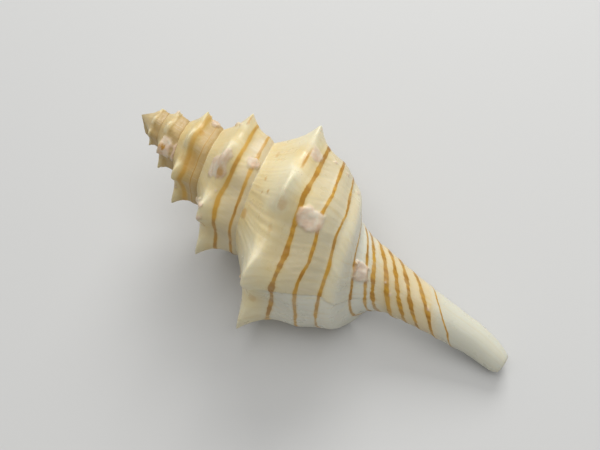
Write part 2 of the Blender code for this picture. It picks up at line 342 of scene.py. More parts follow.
SPOT_STEEPNESS = 1.3

# Orange spots in the surface: turn, row, half length and half width in mm, strength
SPOTS = [
    (-0.36, 0.25, 1.3, 0.17, 0.85),
    (-1.245, 0.25, 0.5, 0.42, 0.75),
    (-1.41, 0.1, 0.5, 0.3, 0.6),
    (-1.1, 0.3, 0.6, 0.12, 0.7),
    (-0.189, -0.93, 0.45, 0.5, 0.55),
    (-0.265, -0.45, 0.2, 0.14, 0.7),
    (-0.258, -0.62, 0.16, 0.12, 0.6),
    (-0.288, -0.7, 0.2, 0.12, 0.6),
    (-0.258, 0.31, 0.55, 0.4, 0.35),
    (-0.215, 0.1, 0.4, 0.3, 0.3),
    (-0.37, -0.72, 0.5, 0.2, 0.35),
    (-3.163, 0.72, 0.26, 0.24, 0.95),
    (-2.2, 1.1, 1.2, 0.5, 0.4),
    (-2.33, 0.9, 0.5, 0.3, 0.5),
    (-0.06, 0.3, 0.5, 0.4, 0.3),
]

# The healed break: growth lines bow back below the keel
GROWTH_LINE_ROWS = [-1, 0, 1, 2, 3.2, 5, 8, 13]
GROWTH_LINE_TURNS = [0.012, 0, -0.004, -0.028, -0.036, 0.004, 0.01, 0.01]
SCAR_TURN = -0.107
SCAR_STEP = 0.11 * MM
SCAR_HEALS_OVER = 1.4 * MM
SCAR_LIP_SHARE = 0.4
SCAR_LIP_REACH = 0.3 * MM
SCAR_END_ROW = 6.5
SCAR_FADE_ROWS = 1.5
SCAR_MEAN = 0.6
SCAR_DEEPEST_ROW = 0.6
FAR_FROM_SCAR = 20 * MM

# Where each spiral line runs: its row at a few turns, oldest first, between the suture, keel and tip
LINE_PATHS = {
    -1: [(0, -1)],
    0: [(0, 0)],
    1: [(-2.3, 0.6), (-2.16, 0.92), (-2.12, 0.7), (-2.04, 1.05), (-1.4, 0.8), (-1.25, 0.93), (-1.19, 0.75),
        (-1.14, 0.94), (-0.36, 0.94), (-0.29, 0.86), (-0.24, 1), (-0.19, 1.12), (-0.11, 1.06), (0, 0.94)],
    2: [(-2.2, 1.62), (-1.37, 1.75), (-1.12, 1.92), (-0.41, 1.88), (-0.33, 1.94), (-0.28, 1.82),
        (-0.24, 2.06), (-0.2, 2.12), (-0.16, 2), (-0.07, 2.19)],
    3: [(-0.41, 2.81), (-0.32, 3), (-0.27, 2.88), (-0.21, 3.12), (-0.01, 3.12)],
    4: [(-0.35, 3.8), (-0.1, 4.05)],
    5: [(-0.35, 4.68), (-0.26, 4.7), (-0.16, 4.98), (0, 4.9)],
    6: [(-0.41, 5.62), (-0.29, 5.8), (-0.14, 6), (-0.04, 5.9)],
    7: [(-0.41, 6.25), (-0.28, 6.62), (-0.16, 6.76), (-0.04, 6.82)],
    8: [(-0.41, 7.38), (-0.27, 7.86), (-0.1, 8.2)],
    9: [(-0.41, 8.32), (-0.27, 8.76), (-0.11, 9.3)],
    10: [(-0.41, 9.32), (-0.26, 9.76), (-0.1, 10.2)],
    11: [(-0.41, 10.4), (-0.3, 10.64), (-0.1, 11.3)],
    12: [(-0.36, 12), (-0.16, 12.2)],
    13: [(0, 13)],
}

# Half width of each painted line in mm, and how the lines change along the growth
LINE_HALF_WIDTHS = {
    1: 0.21, 2: 0.14, 3: 0.13, 5: 0.14, 6: 0.13, 7: 0.2, 8: 0.22, 9: 0.21, 10: 0.22, 11: 0.2, 12: 0.08,
}
LINE_FIRST_TURN = -3.2
LINE_FULL_TURN = -1.9
LINE_NOISE_RADIUS = 7
LINE_MEAN_DARKNESS = 0.5
SCAR_DOT_PLACE = -0.5 * MM
SCAR_DOT_REACH = 0.6 * MM
SCAR_DOT_WIDENS = 0.35
NEW_LINE_WIDTH = 0.85
NEW_LINE_STRENGTH = 0.8
BLOBS_START_TURN = -0.9

# Fine relief
CORD_HEIGHT = 0.05 * MM
CORD_HALF_WIDTH = 0.22 * MM
THREAD_HEIGHT = 0.012 * MM
THREADS_PER_ROW = 5
THREAD_MEAN = 0.6
STRIA_HEIGHT = 0.022 * MM
STRIA_RADIUS = 5 * MM
FOLD_HEIGHT = 0.045 * MM
FOLD_END_ROW = 6
FOLD_FADE_ROWS = 2
RAMP_FOLD_SHARE = 0.25
RAMP_FADE_ROWS = 0.25
ERODED_FROM = 1.6
ERODED_OVER = 2
EROSION = 0.09 * MM
SUTURE_QUIET = 0.25 * MM
NODULE_ROWS = 1.3

# Rounding and wear of the keel, the spines, the canal's tip and the apex
KEEL_ROUND_WIDE = 1.35 * MM
KEEL_ROUND_NARROW = 0.4 * MM
KEEL_NARROW_SPINE = 0.5
SPINE_ROUNDING = 0.05
BLUNT_SPINES = (1, 2)
BLUNT_SHARE = 0.5
TIP_ROUNDS_FROM = 12.6
TIP_ROUNDING = 0.24
APEX_FILL = 0.44 * MM
APEX_FILL_STARTS = 3.95
APEX_FILL_OVER = 0.85
APEX_DOME_POWER = 0.2

# Noise layers: scale along the growth and down the rows, strength, seed, shift from one thing to the next
CRUST_EDGE = [(1.3, 1.3, 0.25, 3, 9), (4, 4, 0.12, 4, 5)]
SPOT_EDGE = [(2, 2, 0.35, 6, 4)]
THREAD_WANDER = [(9, 2, 0.3, 21, 0)]
THREAD_PATCHES = [(14, 3, 0.6, 22, 0)]
STRIAE = [(130, 0.8, 1, 1, 0), (299, 1.7, 0.6, 2, 0)]
FOLDS = [(34, 0.35, 1, 5, 0)]
WORN_PITS = [(50, 2.5, 1, 8, 0), (120, 6, 0.6, 9, 0)]
LINE_EDGE = [(0.8, 7.3, 0.34, 11, 0), (2.6, 5.1, 0.2, 12, 0), (7, 3.3, 0.15, 16, 0)]
LINE_DARKNESS = [(0.6, 3.7, 0.5, 13, 0), (3.4, 9.1, 0.5, 14, 0)]
LINE_PATCHES = [(1.5, 2.7, 0.25, 17, 0)]
LINE_BLOBS = [(0.45, 6.1, 0.3, 19, 0)]


def lattice(i, j, seed):
    """Number from 0 to 1 that looks random, the same each time for the same whole numbers."""
    value = np.sin(i * 127.1 + j * 311.7 + seed * 74.7) * 43758.5453
    return value - np.floor(value)


def noise(u, v, seed):
    """Smooth noise from -1 to 1, which changes over a distance of about 1."""
    i, j = np.floor(u), np.floor(v)
    a, b = u - i, v - j
    a, b = a * a * (3 - 2 * a), b * b * (3 - 2 * b)
    low = lattice(i, j, seed) * (1 - a) + lattice(i + 1, j, seed) * a
    high = lattice(i, j + 1, seed) * (1 - a) + lattice(i + 1, j + 1, seed) * a
    return 2 * (low * (1 - b) + high * b) - 1


def layered(u, v, layers, number=0):
    """Sum of noise layers, for the thing with this number."""
    return sum(
        strength * noise(u * along + shift * number, v * down, seed)
        for along, down, strength, seed, shift in layers
    )


def smoothstep(value):
    """Smooth rise from 0 to 1."""
    part = np.clip(value, 0, 1)
    return part * part * (3 - 2 * part)


def line_rows(turn):
    """The row of every spiral line at this turn."""
    return [np.interp(turn, *zip(*path)) for path in LINE_PATHS.values()]


def rounded_at_keel(radii, heights, rows, reach):
    """The section with its corner at the keel turned into a curve that starts this far on either side."""
    length = np.concatenate([[0], np.cumsum(np.hypot(np.diff(radii), np.diff(heights)))])
    keel = np.interp(KEEL, rows, length)
    off = length - keel
    part = np.clip((off + reach) / (2 * reach), 0, 1)
    weights = ((1 - part) ** 2, 2 * part * (1 - part), part**2)
    ends = (keel - reach, keel, keel + reach)
    near = abs(off) < reach

    def rounded(values):
        curve = sum(weight * np.interp(end, length, values) for weight, end in zip(weights, ends))
        return np.where(near, curve, values)

    return rounded(radii), rounded(heights)


class Grid:
    """Places on the shell, column by column along the growth, with their rows, radii and sizes."""

    def __init__(self, turns, rows):
        self.turn = np.repeat(turns[:, None], len(rows), 1)
        self.row = np.repeat(rows[None, :], len(turns), 0)
        sections = [section(turn, rows) for turn in turns]
        shapes = np.array([spine_shape(turn) for turn in turns])
        self.swelling = np.repeat(shapes[:, 1:], len(rows), 1)
        for number, (radii, heights) in enumerate(sections):
            reach = np.interp(shapes[number, 0], [0, KEEL_NARROW_SPINE], [KEEL_ROUND_WIDE, KEEL_ROUND_NARROW])
            sections[number] = rounded_at_keel(radii, heights, rows, growth(turns[number]) * reach)
        self.radius = np.array([radii for radii, heights in sections])
        self.height = np.array([heights for radii, heights in sections])
        near_tip = np.clip((self.row - TIP_ROUNDS_FROM) / (CANAL_TIP - TIP_ROUNDS_FROM), 0, 1)
        self.radius = self.radius * (1 - TIP_ROUNDING * near_tip**3)
        self.points = place(self.radius, self.height, angle_at(self.turn))
        self.size = growth(self.turn)
        self.length = np.hypot(np.diff(self.radius, axis=1), np.diff(self.height, axis=1))
        self.row_length = self.per_row(self.row)
        numbers = list(LINE_PATHS)
        self.painted_row = np.array([np.interp(rows, line_rows(turn), numbers) for turn in turns])
        self.painted_length = self.per_row(self.painted_row)
        self.age = self.turn - np.interp(self.row, GROWTH_LINE_ROWS, GROWTH_LINE_TURNS)
        self.past_scar = (self.age - SCAR_TURN) * 2 * math.pi * np.maximum(self.radius, MM)

    def per_row(self, row):
        """Length of one row down the section, in metres."""
        rate = self.length / np.maximum(np.diff(row, axis=1), 1e-6)
        return np.concatenate([rate[:, :1], (rate[:, 1:] + rate[:, :-1]) / 2, rate[:, -1:]], 1)


def spot_shares(grid, spots):
    """For each spot, (along, across) from its middle as shares of its size, with its last number."""
    for turn, row, length, width, last in spots:
        along = (grid.turn - turn) * 2 * math.pi * grid.radius / (length * MM)
        across = (grid.row - row) * grid.row_length / (width * MM)
        yield along, across, last


def crust_cover(grid):
    """(cover from 0 to 1, height in metres) of the crusts: lumps with ragged edges and knobs."""
    cover = np.zeros_like(grid.turn)
    height = np.zeros_like(grid.turn)
    for number, (along, across, high) in enumerate(spot_shares(grid, CRUSTS)):
        ragged = 1 + layered(along, across, CRUST_EDGE, number)
        inside = np.clip(1 - (along**2 + across**2) / ragged**2, 0, 1)
        knobs = CRUST_MEAN_KNOB
        for scale, strength in CRUST_KNOBS:
            knobs = knobs + strength * noise(along * scale, across * scale, number)
        height = np.maximum(height, high * MM * smoothstep(inside * CRUST_STEEPNESS) * knobs)
        cover = np.maximum(cover, np.clip(inside * CRUST_COVER_STEEPNESS, 0, 1))
    return cover, height


def orange_spots(grid):
    """Strength from 0 to 1 of the orange spots in the surface."""
    total = np.zeros_like(grid.turn)
    for number, (along, across, strength) in enumerate(spot_shares(grid, SPOTS)):
        ragged = 1 + layered(along, across, SPOT_EDGE, number)
        inside = np.clip(SPOT_STEEPNESS * (1 - (along**2 + across**2) / ragged**2), 0, 1)
        total = np.maximum(total, strength * inside)
    return total


def cords(grid):
    """Low rounded cord under each spiral line."""
    out = np.zeros_like(grid.row)
    for line in LINE_HALF_WIDTHS:
        off = (grid.painted_row - line) * grid.painted_length / (CORD_HALF_WIDTH * np.sqrt(grid.size))
        out += CORD_HEIGHT * grid.size * np.exp(-off * off)
    return out


def growth_relief(grid):
    """Threads round the whorls, with striae and folds along the growth lines across them."""
    row, size = grid.row, grid.size
    threads = np.cos(2 * math.pi * (row * THREADS_PER_ROW + layered(grid.turn, row, THREAD_WANDER)))
    out = THREAD_HEIGHT * size * threads * (THREAD_MEAN + layered(grid.turn, row, THREAD_PATCHES))
    slender = np.clip(grid.radius / STRIA_RADIUS, 0, 1) ** 2
    out += STRIA_HEIGHT * size * slender * layered(grid.age, row, STRIAE)
    on_ramp = np.clip(-row / RAMP_FADE_ROWS, 0, 1)
    folds = np.clip((FOLD_END_ROW - row) / FOLD_FADE_ROWS, 0, 1) * (1 - (1 - RAMP_FOLD_SHARE) * on_ramp)
    return out + FOLD_HEIGHT * size * folds * layered(grid.age, row, FOLDS)


def scar_relief(grid):
    """The step where the healed break starts, strongest just below the keel."""
    past = grid.past_scar
    deeper = 1 + np.exp(-((grid.row - SCAR_DEEPEST_ROW) ** 2))
    strength = np.clip((SCAR_END_ROW - grid.row) / SCAR_FADE_ROWS, 0, 1) * SCAR_MEAN * deeper
    step = -SCAR_STEP * (past > 0) * np.exp(-past.clip(0) / SCAR_HEALS_OVER)
    step += SCAR_LIP_SHARE * SCAR_STEP * (past <= 0) * np.exp(past.clip(None, 0) / SCAR_LIP_REACH)
    return step * strength


def relief(grid, crust_height):
    """How far each place stands out from the smooth shell, in metres, nothing right at the suture."""
    old = np.clip((-grid.turn - ERODED_FROM) / ERODED_OVER, 0, 1)
    worn = EROSION * grid.size * old * layered(grid.turn, grid.row, WORN_PITS)
    total = worn + cords(grid) + growth_relief(grid) + scar_relief(grid) + crust_height
    return total * np.clip((grid.row + 1) * grid.row_length / SUTURE_QUIET, 0, 1)


def apex_fill(turn, oldest):
    """How far the worn, blunt apex stands out from the law's cone at this turn, in metres."""
    return APEX_FILL * smoothstep((-turn - APEX_FILL_STARTS) / APEX_FILL_OVER) * (turn >= oldest)


def blunted(grid, points):
    """The points, with those near the apex pushed out from the axis of coiling."""
    oldest = grid.turn.min()
    at_suture = apex_fill(grid.turn - 1, oldest)
    up_ramp = np.clip(grid.row + 1, 0, 1)
    share = np.where(grid.turn - 1 < oldest, up_ramp**APEX_DOME_POWER, up_ramp)
    push = at_suture + (apex_fill(grid.turn, oldest) - at_suture) * share
    angle = angle_at(grid.turn)
    return points + np.stack([0 * angle, np.cos(angle), np.sin(angle)], -1) * push[..., None]


def line_marks(grid):
    """(half width in mm of the nearest spiral line, its darkness, its strength) at each place."""
    nearest = np.round(grid.painted_row)
    width = np.zeros_like(grid.row)
    for line, half in LINE_HALF_WIDTHS.items():
        width = np.where(nearest == line, half, width)
    along = grid.turn * 2 * math.pi * LINE_NOISE_RADIUS * grid.size
    is_new = grid.past_scar > 0
    scar_dot = np.exp(-(((grid.past_scar - SCAR_DOT_PLACE) / SCAR_DOT_REACH) ** 2)) * (nearest == 1)
    blobs = 1 + np.clip(BLOBS_START_TURN - grid.turn, 0, 1) * layered(along, nearest, LINE_BLOBS)
    width *= np.sqrt(grid.size) * (1 + layered(along, nearest, LINE_EDGE)) * blobs
    width *= np.where(is_new, NEW_LINE_WIDTH, 1) * (1 + SCAR_DOT_WIDENS * scar_dot)
    dark = LINE_MEAN_DARKNESS + layered(along, nearest, LINE_DARKNESS) + scar_dot
    strength = np.clip((grid.turn - LINE_FIRST_TURN) / (LINE_FULL_TURN - LINE_FIRST_TURN), 0, 1)
    strength *= np.where(is_new, NEW_LINE_STRENGTH, 1) * (1 + layered(along, nearest, LINE_PATCHES))
    return width, np.clip(dark, 0, 1), np.clip(strength, 0, 1)


def stride_at(whorl, index):
    """Every how many columns this row has a point."""
    if whorl == 0:
        return 1 if ROWS[index] <= BASE_ROW else BASE_STRIDE if ROWS[index] <= CANAL_ROW else CANAL_STRIDE
    if index == SUTURE_INDEX:
        return WHORL_STRIDES[whorl - 1]
    return WHORL_STRIDES[whorl]


ATTRIBUTES = ("growth", "lines", "marks", "tints")


def corner_values(grid, cover):
    """The numbers that the material reads at each place, three for each attribute."""
    width, dark, strength = line_marks(grid)
    past_scar = np.clip(grid.past_scar, -FAR_FROM_SCAR, FAR_FROM_SCAR) / MM
    nodule = grid.swelling * np.exp(-((grid.row / NODULE_ROWS) ** 2))
    growing = [grid.turn, grid.painted_row, grid.painted_length / MM]
    lines = [width, dark, strength]
    marks = [past_scar, cover, np.zeros_like(cover)]
    tints = [orange_spots(grid), nodule, grid.row]
    return np.stack(growing + lines + marks + tints, -1)


def outward(points):
    """Unit vectors out of the surface of a grid of points."""
    along = np.gradient(points, axis=0)
    down = np.gradient(points, axis=1)
    out = np.cross(down, along)
    length = np.linalg.norm(out, axis=-1, keepdims=True)
    return out / np.maximum(length, 1e-12)


class Skin:
    """The outer surface as it is put together from the cells (column, row index) of a grid."""

    def __init__(self, placed, values):
        self.placed = placed
        self.values = values
        self.used = np.full(values.shape[:2], -1)
        self.points = []
        self.faces = []
        self.corners = []

    def add_point(self, point):
        """Keeps this point and returns its number."""
        self.points.append(point)
        return len(self.points) - 1

    def add_face(self, cells, tip=None):
        """Adds a face through these cells and the tip, if it is given, with each point once."""
        ids = [int(self.used[cell]) for cell in cells]
        values = [self.values[cell] for cell in cells]
        if tip is not None:
            ids.append(tip)
            values.append(values[-1])
        kept = [i for i, vertex in enumerate(ids) if vertex != ids[i - 1]]
        if len(kept) > 2:
            self.faces.append([ids[i] for i in kept])
            self.corners.append([values[i] for i in kept])


def keep_points(skin):
    """Keeps the points that the faces need. Each whorl's suture is a row of the earlier whorl."""
    for column in range(COLUMNS + 1):
        whorl = max(column - 1, 0) // STEPS_PER_TURN
        bottom = LAST_ROW if column <= STEPS_PER_TURN else SUTURE_INDEX
        for index in range(1, bottom + 1):
            strides = [stride_at(whorl, index)]
            if column % STEPS_PER_TURN == 0 and column < COLUMNS:
                strides.append(stride_at(column // STEPS_PER_TURN, index))
            if any(column % stride == 0 for stride in strides):
                skin.used[column, index] = skin.add_point(skin.placed[column, index])
    apex_height = section(LIP_TURN - WHORLS, [0.0])[1][0] + APEX_DOME
    apex = skin.add_point(place(np.float64(0), apex_height, 0))
    for column in range(COLUMNS + 1):
        earlier = column + STEPS_PER_TURN
        skin.used[column, 0] = skin.used[earlier, SUTURE_INDEX] if earlier <= COLUMNS else apex


def cover_whorls(skin):
    """Faces over every whorl, from its suture down."""
    for whorl in range(WHORLS):
        start = whorl * STEPS_PER_TURN
        for index in range(LAST_ROW if whorl == 0 else SUTURE_INDEX):
            top_stride = stride_at(whorl, max(index, 1))
            low_stride = stride_at(whorl, index + 1)
            stride = max(top_stride, low_stride)
            for column in range(start, start + STEPS_PER_TURN, stride):
                upper = [(c, index) for c in range(column, column + stride + 1, top_stride)]
                lower = [(c, index + 1) for c in range(column, column + stride + 1, low_stride)]
                skin.add_face(lower + upper[::-1])


def close_canal(skin):
    """Faces over the canal's end. Returns the number of its tip."""
    tip = skin.add_point(place(np.float64(0), np.float64(-TIP_DOME), 0))
    for column in range(0, STEPS_PER_TURN, CANAL_STRIDE):
        skin.add_face([(column + CANAL_STRIDE, LAST_ROW), (column, LAST_ROW)], tip)
    return tip


def close_lip(skin, heights, tip):
    """Faces between the lip and the wall one turn behind it, down to the canal's tip."""
    lip = [(0, index) for index in range(LAST_ROW + 1)]
    behind = [(STEPS_PER_TURN, index) for index in range(SUTURE_INDEX, LAST_ROW + 1)]
    front, back = 0, 0
    while front < len(lip) - 1 or back < len(behind) - 1:
        step_front = back == len(behind) - 1 or (
            front < len(lip) - 1 and heights[lip[front + 1]] >= heights[behind[back + 1]]
        )
        cells = [lip[front], behind[back]]
        if step_front:
            front += 1
            cells.append(lip[front])
        else:
            back += 1
            cells.append(behind[back])
        skin.add_face(cells)
    skin.add_face([lip[-1], behind[-1]], tip)


def build_outside():
    """(points, faces, corner values) of the whole outer surface, closed at the lip and at the apex."""
    grid = Grid(LIP_TURN - np.arange(COLUMNS + 1) / STEPS_PER_TURN, ROWS)
    cover, crust_height = crust_cover(grid)
    raised = grid.points + outward(grid.points) * relief(grid, crust_height)[..., None]
    skin = Skin(blunted(grid, raised), corner_values(grid, cover))
    keep_points(skin)
    cover_whorls(skin)
    tip = close_canal(skin)
    close_lip(skin, grid.height, tip)
    skin.add_face([(COLUMNS, index) for index in range(SUTURE_INDEX + 1)])
    return np.array(skin.points), skin.faces, skin.corners


def new_object(name, points, faces, corners):
    """An object with these faces, whose corner values are kept in four attributes of three numbers."""
    mesh = bpy.data.meshes.new(name)
    mesh.from_pydata([tuple(point) for point in points], [], faces)
    flat = np.array([value for marks in corners for value in marks], np.float32)
    for number, label in enumerate(ATTRIBUTES):
        attribute = mesh.attributes.new(label, "FLOAT_VECTOR", "CORNER")
        attribute.data.foreach_set("vector", flat[:, 3 * number:3 * number + 3].ravel())
    mesh.validate()
    made = bpy.data.objects.new(name, mesh)
    bpy.context.scene.collection.objects.link(made)
    return made


def outline(turn, spined):
    """(radii, heights) of the section at evenly spread rows."""
    ramp_rows = np.linspace(-1, 0, OUTLINE_RAMP_POINTS, endpoint=False)
    rows = np.concatenate([ramp_rows, np.linspace(0, CANAL_TIP, OUTLINE_POINTS)])
    return section(turn, rows, spined)


def radius_at(curve, heights):
    """Radius of an outline at these heights."""
    radii, levels = curve
    return np.interp(-heights, -levels, radii)


def cavity_section(turn, outlines):
    """Loop of (radius, height) round the hollow at this turn, between the wall and the whorl inside it."""
    size = growth(turn)
    wall = WALL * (WALL_LEAST_SHARE + (1 - WALL_LEAST_SHARE) * size)
    thin = np.clip((LIP_TURN - turn) / LIP_THINS_OVER, 0, 1)
    wall *= LIP_WALL_SHARE + (1 - LIP_WALL_SHARE) * thin
    outer = outline(turn, False)
    inners = [outlines(turn - 1 + step / SOLID_STEPS_PER_TURN) for step in (-1, 0, 1)]
    shifts = (-WALL_ROUNDING * wall, 0, WALL_ROUNDING * wall)
    window = (-NEAR_WINDOW, 0, NEAR_WINDOW)

    def far(heights):
        return np.min([radius_at(outer, heights + shift) for shift in shifts], 0) - wall

    def near(heights):
        reach = [radius_at(inner, heights + shift) for inner in inners for shift in window]
        return np.max(reach, 0) + WALL_CLEARANCE

    suture_height = section(turn - 1, [SUTURE])[1][0]
    low = blend(knots(turn)[1], np.array([CAVITY_FLOOR_ROW]))[0]
    probes = np.linspace(suture_height, low, CAVITY_PROBES)
    wide = probes[far(probes) - near(probes) > CAVITY_GAP * size]
    levels = np.linspace(wide[0], wide[-1], CAVITY_LEVELS)
    outside = np.stack([far(levels), levels], -1)
    inside = np.stack([near(levels), levels], -1)
    return np.concatenate([outside, inside[::-1]])


def close_tube(rings, values):
    """(points, faces, corner values) of a closed tube through rings of equal length."""
    count = len(rings[0])
    points = np.concatenate(rings)
    faces = []
    for ring in range(len(rings) - 1):
        for side in range(count):
            after = (side + 1) % count
            faces.append([ring * count + side, ring * count + after,
                          (ring + 1) * count + after, (ring + 1) * count + side])
    faces.append(list(range(count))[::-1])
    last = (len(rings) - 1) * count
    faces.append([last + side for side in range(count)])
    corners = [[values[i] for i in face] for face in faces]
    return points, faces, corners


def inside_values(turn, rows):
    """Corner values inside the aperture and the canal, where there are no lines, crusts or spots."""
    zero = np.zeros_like(rows)
    unmarked = [zero] * 6
    return np.stack([zero + turn, rows, *unmarked, zero + 1, zero, zero, rows], -1)


def build_cavity():
    """(points, faces, corner values) of the hollow, from in front of the lip inwards."""
    cache = {}

    def outlines(turn):
        key = round(turn * STEPS_PER_TURN)
        if key not in cache:
            cache[key] = outline(turn, True)
        return cache[key]

    steps = int(CAVITY_TURNS * STEPS_PER_TURN)
    rings, values = [], []
    for index in range(-2 * CAVITY_STRIDE, steps + 1, CAVITY_STRIDE):
        turn = LIP_TURN - index / STEPS_PER_TURN
        loop = cavity_section(turn, outlines)
        remain = (steps - index) / steps
        middle = loop.mean(0)
        loop = middle + (loop - middle) * min(1.0, CAVITY_END_SIZE + CAVITY_TAPER * remain)
        rings.append(place(loop[:, 0], loop[:, 1], angle_at(turn)))
        heights = knots(turn)[1]
        rows = np.interp(-loop[:, 1], -heights, np.arange(CANAL_TIP + 1))
        values.append(inside_values(turn, rows))
    return close_tube(rings, np.concatenate(values))


def gutter_ring(height):
    """Cross-section of the canal's gutter: a round floor, with its slit open to the aperture side."""
    share = max(0.0, height) / GUTTER_TOP
    radius = GUTTER_RADIUS + GUTTER_WIDENS * share
    depth = GUTTER_DEPTH + GUTTER_DEEPENS * share**2
    half_slit = SLIT_WIDTH / 2 * (1 + SLIT_WIDENS * share)
    reach = min(SLIT_REACH, depth + radius + SLIT_SLOPE * (GUTTER_TOP - height))
    start = math.asin(half_slit / radius)
    angles = start + (2 * math.pi - 2 * start) * np.arange(GUTTER_SIDES + 1) / GUTTER_SIDES
    along = np.append(depth + radius * np.cos(angles), [reach, reach])
    across = np.append(radius * np.sin(angles), [-half_slit, half_slit])
    centre = place(np.float64(0), np.float64(height), 0)
    out = np.array([0, math.cos(GUTTER_DIRECTION), math.sin(GUTTER_DIRECTION)])
    side = np.array([0, -out[2], out[1]])
    return centre + out * along[:, None] + side * across[:, None]


def build_gutter():
    """(points, faces, corner values) of the open gutter along the canal."""
    levels = np.linspace(GUTTER_TOP, GUTTER_END, GUTTER_RINGS)
    rings = [gutter_ring(level) for level in levels]
    rows = GUTTER_END_ROW + (GUTTER_TOP_ROW - GUTTER_END_ROW) * levels / GUTTER_TOP
    values = [inside_values(0, np.full(len(rings[0]), row)) for row in rows]
    return close_tube(rings, np.concatenate(values))


def make_outward(piece):
    """Turns every face to look out of the piece."""
    shape = bmesh.new()
    shape.from_mesh(piece.data)
    bmesh.ops.recalc_face_normals(shape, faces=shape.faces)
    shape.to_mesh(piece.data)
    shape.free()


def apply_cut(target, cutter):
    """Cuts one closed piece out of another, and removes the cutter."""
    modifier = target.modifiers.new(cutter.name, "BOOLEAN")
    modifier.operation = "DIFFERENCE"
    modifier.object = cutter
    modifier.solver = "EXACT"
    graph = bpy.context.evaluated_depsgraph_get()
    made = bpy.data.meshes.new_from_object(target.evaluated_get(graph), depsgraph=graph)
    target.modifiers.remove(modifier)
    target.data = made
    bpy.data.objects.remove(cutter)


def drop_slivers(piece):
    """Joins points that lie together, and removes pairs of faces that lie back to back."""
    shape = bmesh.new()
    shape.from_mesh(piece.data)
    bmesh.ops.remove_doubles(shape, verts=shape.verts, dist=SAME_PLACE)
    bmesh.ops.triangulate(shape, faces=shape.faces)
    found = {}
    for face in shape.faces:
        found.setdefault(frozenset(face.verts), []).append(face)
    stray = [face for faces in found.values() if len(faces) > 1 for face in faces]
    bmesh.ops.delete(shape, geom=stray, context="FACES")
    shape.to_mesh(piece.data)
    shape.free()


def build_shell():
    """The shell as it lies, no larger than its solid's box."""
    shell = new_object("shell_surface", *build_outside())
    make_outward(shell)
    for name, maker in (("hollow", build_cavity), ("gutter", build_gutter)):
        cutter = new_object(name, *maker())
        make_outward(cutter)
        apply_cut(shell, cutter)
    drop_slivers(shell)
    turned = Matrix.Rotation(DIP, 4, "Y") @ Matrix.Rotation(ROLL, 4, "X")
    shell.data.transform(Matrix.Translation(LYING_PLACE) @ turned)
    points = np.array([vertex.co for vertex in shell.data.vertices])
    low, high = np.array(CAD_BOX[0]), np.array(CAD_BOX[1])
    points = np.clip(points, low, high)
    shell.data.vertices.foreach_set("co", points.astype(np.float32).ravel())
    shell.data.shade_smooth()
    return shell


class Tree:
    """Adds shader nodes to a material and links them."""

    def __init__(self, material):
        self.tree = material.node_tree

    def node(self, kind, settings=None, **inputs):
        """A node with these inputs, where a space in an input's name is given as an underscore."""
        made = self.tree.nodes.new(kind)
        for name, value in (settings or {}).items():
            setattr(made, name, value)
        for name, value in inputs.items():
            self.set(made.inputs[name.replace("_", " ")], value)
        return made

    def set(self, socket, value):
        """Links a socket to this one, or gives it a number."""
        if isinstance(value, bpy.types.NodeSocket):
            self.tree.links.new(value, socket)
        else:
            socket.default_value = value

    def math(self, operation, a, b=0.0):
        made = self.tree.nodes.new("ShaderNodeMath")
        made.operation = operation
        self.set(made.inputs[0], a)
        self.set(made.inputs[1], b)
        return made.outputs[0]

    def product(self, *values):
        total = values[0]
        for value in values[1:]:
            total = self.math("MULTIPLY", total, value)
        return total

    def smooth(self, value, low, high, to_low=0.0, to_high=1.0):
        """Smooth change from one number to another while the value goes from low to high."""
        made = self.tree.nodes.new("ShaderNodeMapRange")
        made.interpolation_type = "SMOOTHSTEP"
        names = ("Value", "From Min", "From Max", "To Min", "To Max")
        for name, number in zip(names, (value, low, high, to_low, to_high)):
            self.set(made.inputs[name], number)
        return made.outputs[0]

    def mix(self, factor, a, b):
        """From colour a at 0 to colour b at 1."""
        made = self.tree.nodes.new("ShaderNodeMix")
        made.data_type = "RGBA"
        self.set(made.inputs[0], factor)
        self.set(made.inputs[6], a)
        self.set(made.inputs[7], b)
        return made.outputs[2]

    def tint(self, base, paint, share, *masks):
        """The base with this colour over it, at this share where every mask is 1."""
        return self.mix(self.product(*masks, share), base, paint)

    def noise(self, vector, scale, detail):
        made = self.node("ShaderNodeTexNoise", Vector=vector, Scale=scale, Detail=detail, Roughness=0.5)
        return made.outputs["Fac"]

    def vector(self, x, y):
        return self.node("ShaderNodeCombineXYZ", X=x, Y=y, Z=0.0).outputs[0]

    def attribute(self, name):
        """The three numbers of a corner attribute."""
        source = self.node("ShaderNodeAttribute", {"attribute_name": name})
        parts = self.node("ShaderNodeSeparateXYZ", Vector=source.outputs["Vector"])
        return [parts.outputs[axis] for axis in "XYZ"]


def colour(red, green, blue):
    """A colour given in the 0 to 255 of screens, as light."""
    return tuple((value / 255) ** 2.2 for value in (red, green, blue)) + (1,)


# The pearl is a painted highlight on the crests of the swellings, over their own paler colour
HIGHLIGHT_PEARL = colour(228, 223, 196)
CREAM = colour(219, 206, 164)
WARM = colour(214, 191, 136)
SPIRE = colour(190, 164, 104)
SPIRE_BAND = colour(166, 134, 70)
LILAC = colour(186, 164, 134)
WHITE = colour(212, 211, 196)
# Grey is painted shade in the hollows between the swellings
SHADE_GREY = colour(184, 175, 150)
CANAL = colour(210, 192, 152)
TIP = colour(204, 203, 186)
STRAW = colour(204, 178, 114)
OCHRE = colour(194, 146, 46)
BROWN = colour(156, 108, 22)
PINK = colour(210, 184, 162)
CHALK = colour(216, 204, 184)
ORANGE = colour(184, 134, 50)


# Where the colours change: from and to, in whorls of age
SPIRE_AGES = (0.6, 2.3)
WORN_AGES = (0.6, 2.0)
BAND_AGES = (1.5, 2.2)
APEX_AGES = (2.6, 3.1)

